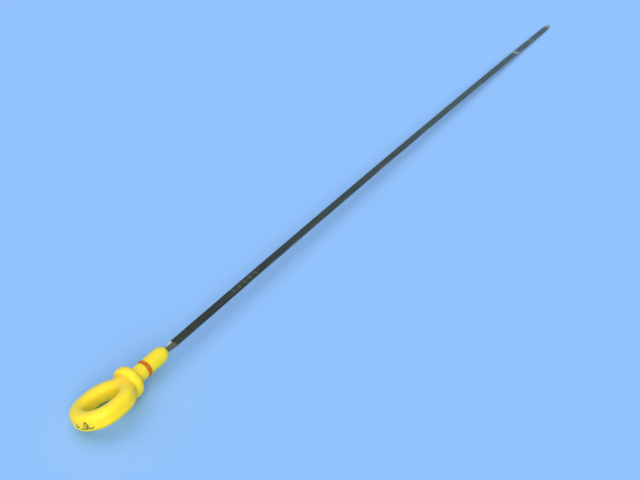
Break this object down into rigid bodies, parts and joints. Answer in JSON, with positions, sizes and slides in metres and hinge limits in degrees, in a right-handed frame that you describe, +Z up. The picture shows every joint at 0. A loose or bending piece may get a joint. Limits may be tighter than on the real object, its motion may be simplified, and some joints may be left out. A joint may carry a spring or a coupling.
{
  "type": "engine oil dipstick",
  "caption": "Engine oil dipstick: a rounded plastic finger-loop handle with stop collar and sealed plug, on a long flat steel blade with pressed level marks and a tapered tip.",
  "frame": {"origin": "middle of the bounding box on the surface that the dipstick lies on", "axes": "+X along the handle's axis from the finger loop to the blade's tip, +Z up from the surface it lies on, +Y to the side where the loop's edge touches down"},
  "size_m": [0.7308, 0.0332, 0.0198],
  "materials": {
    "handle_plastic": "smooth moulded, soft sheen",
    "seal_rubber": "smooth, slightly oily",
    "blade_steel": "dark blued, satin"
  },
  "bodies": {
    "root": {"handle": "handle_plastic", "o_ring": "seal_rubber", "blade": "blade_steel"}
  },
  "joints": []
}
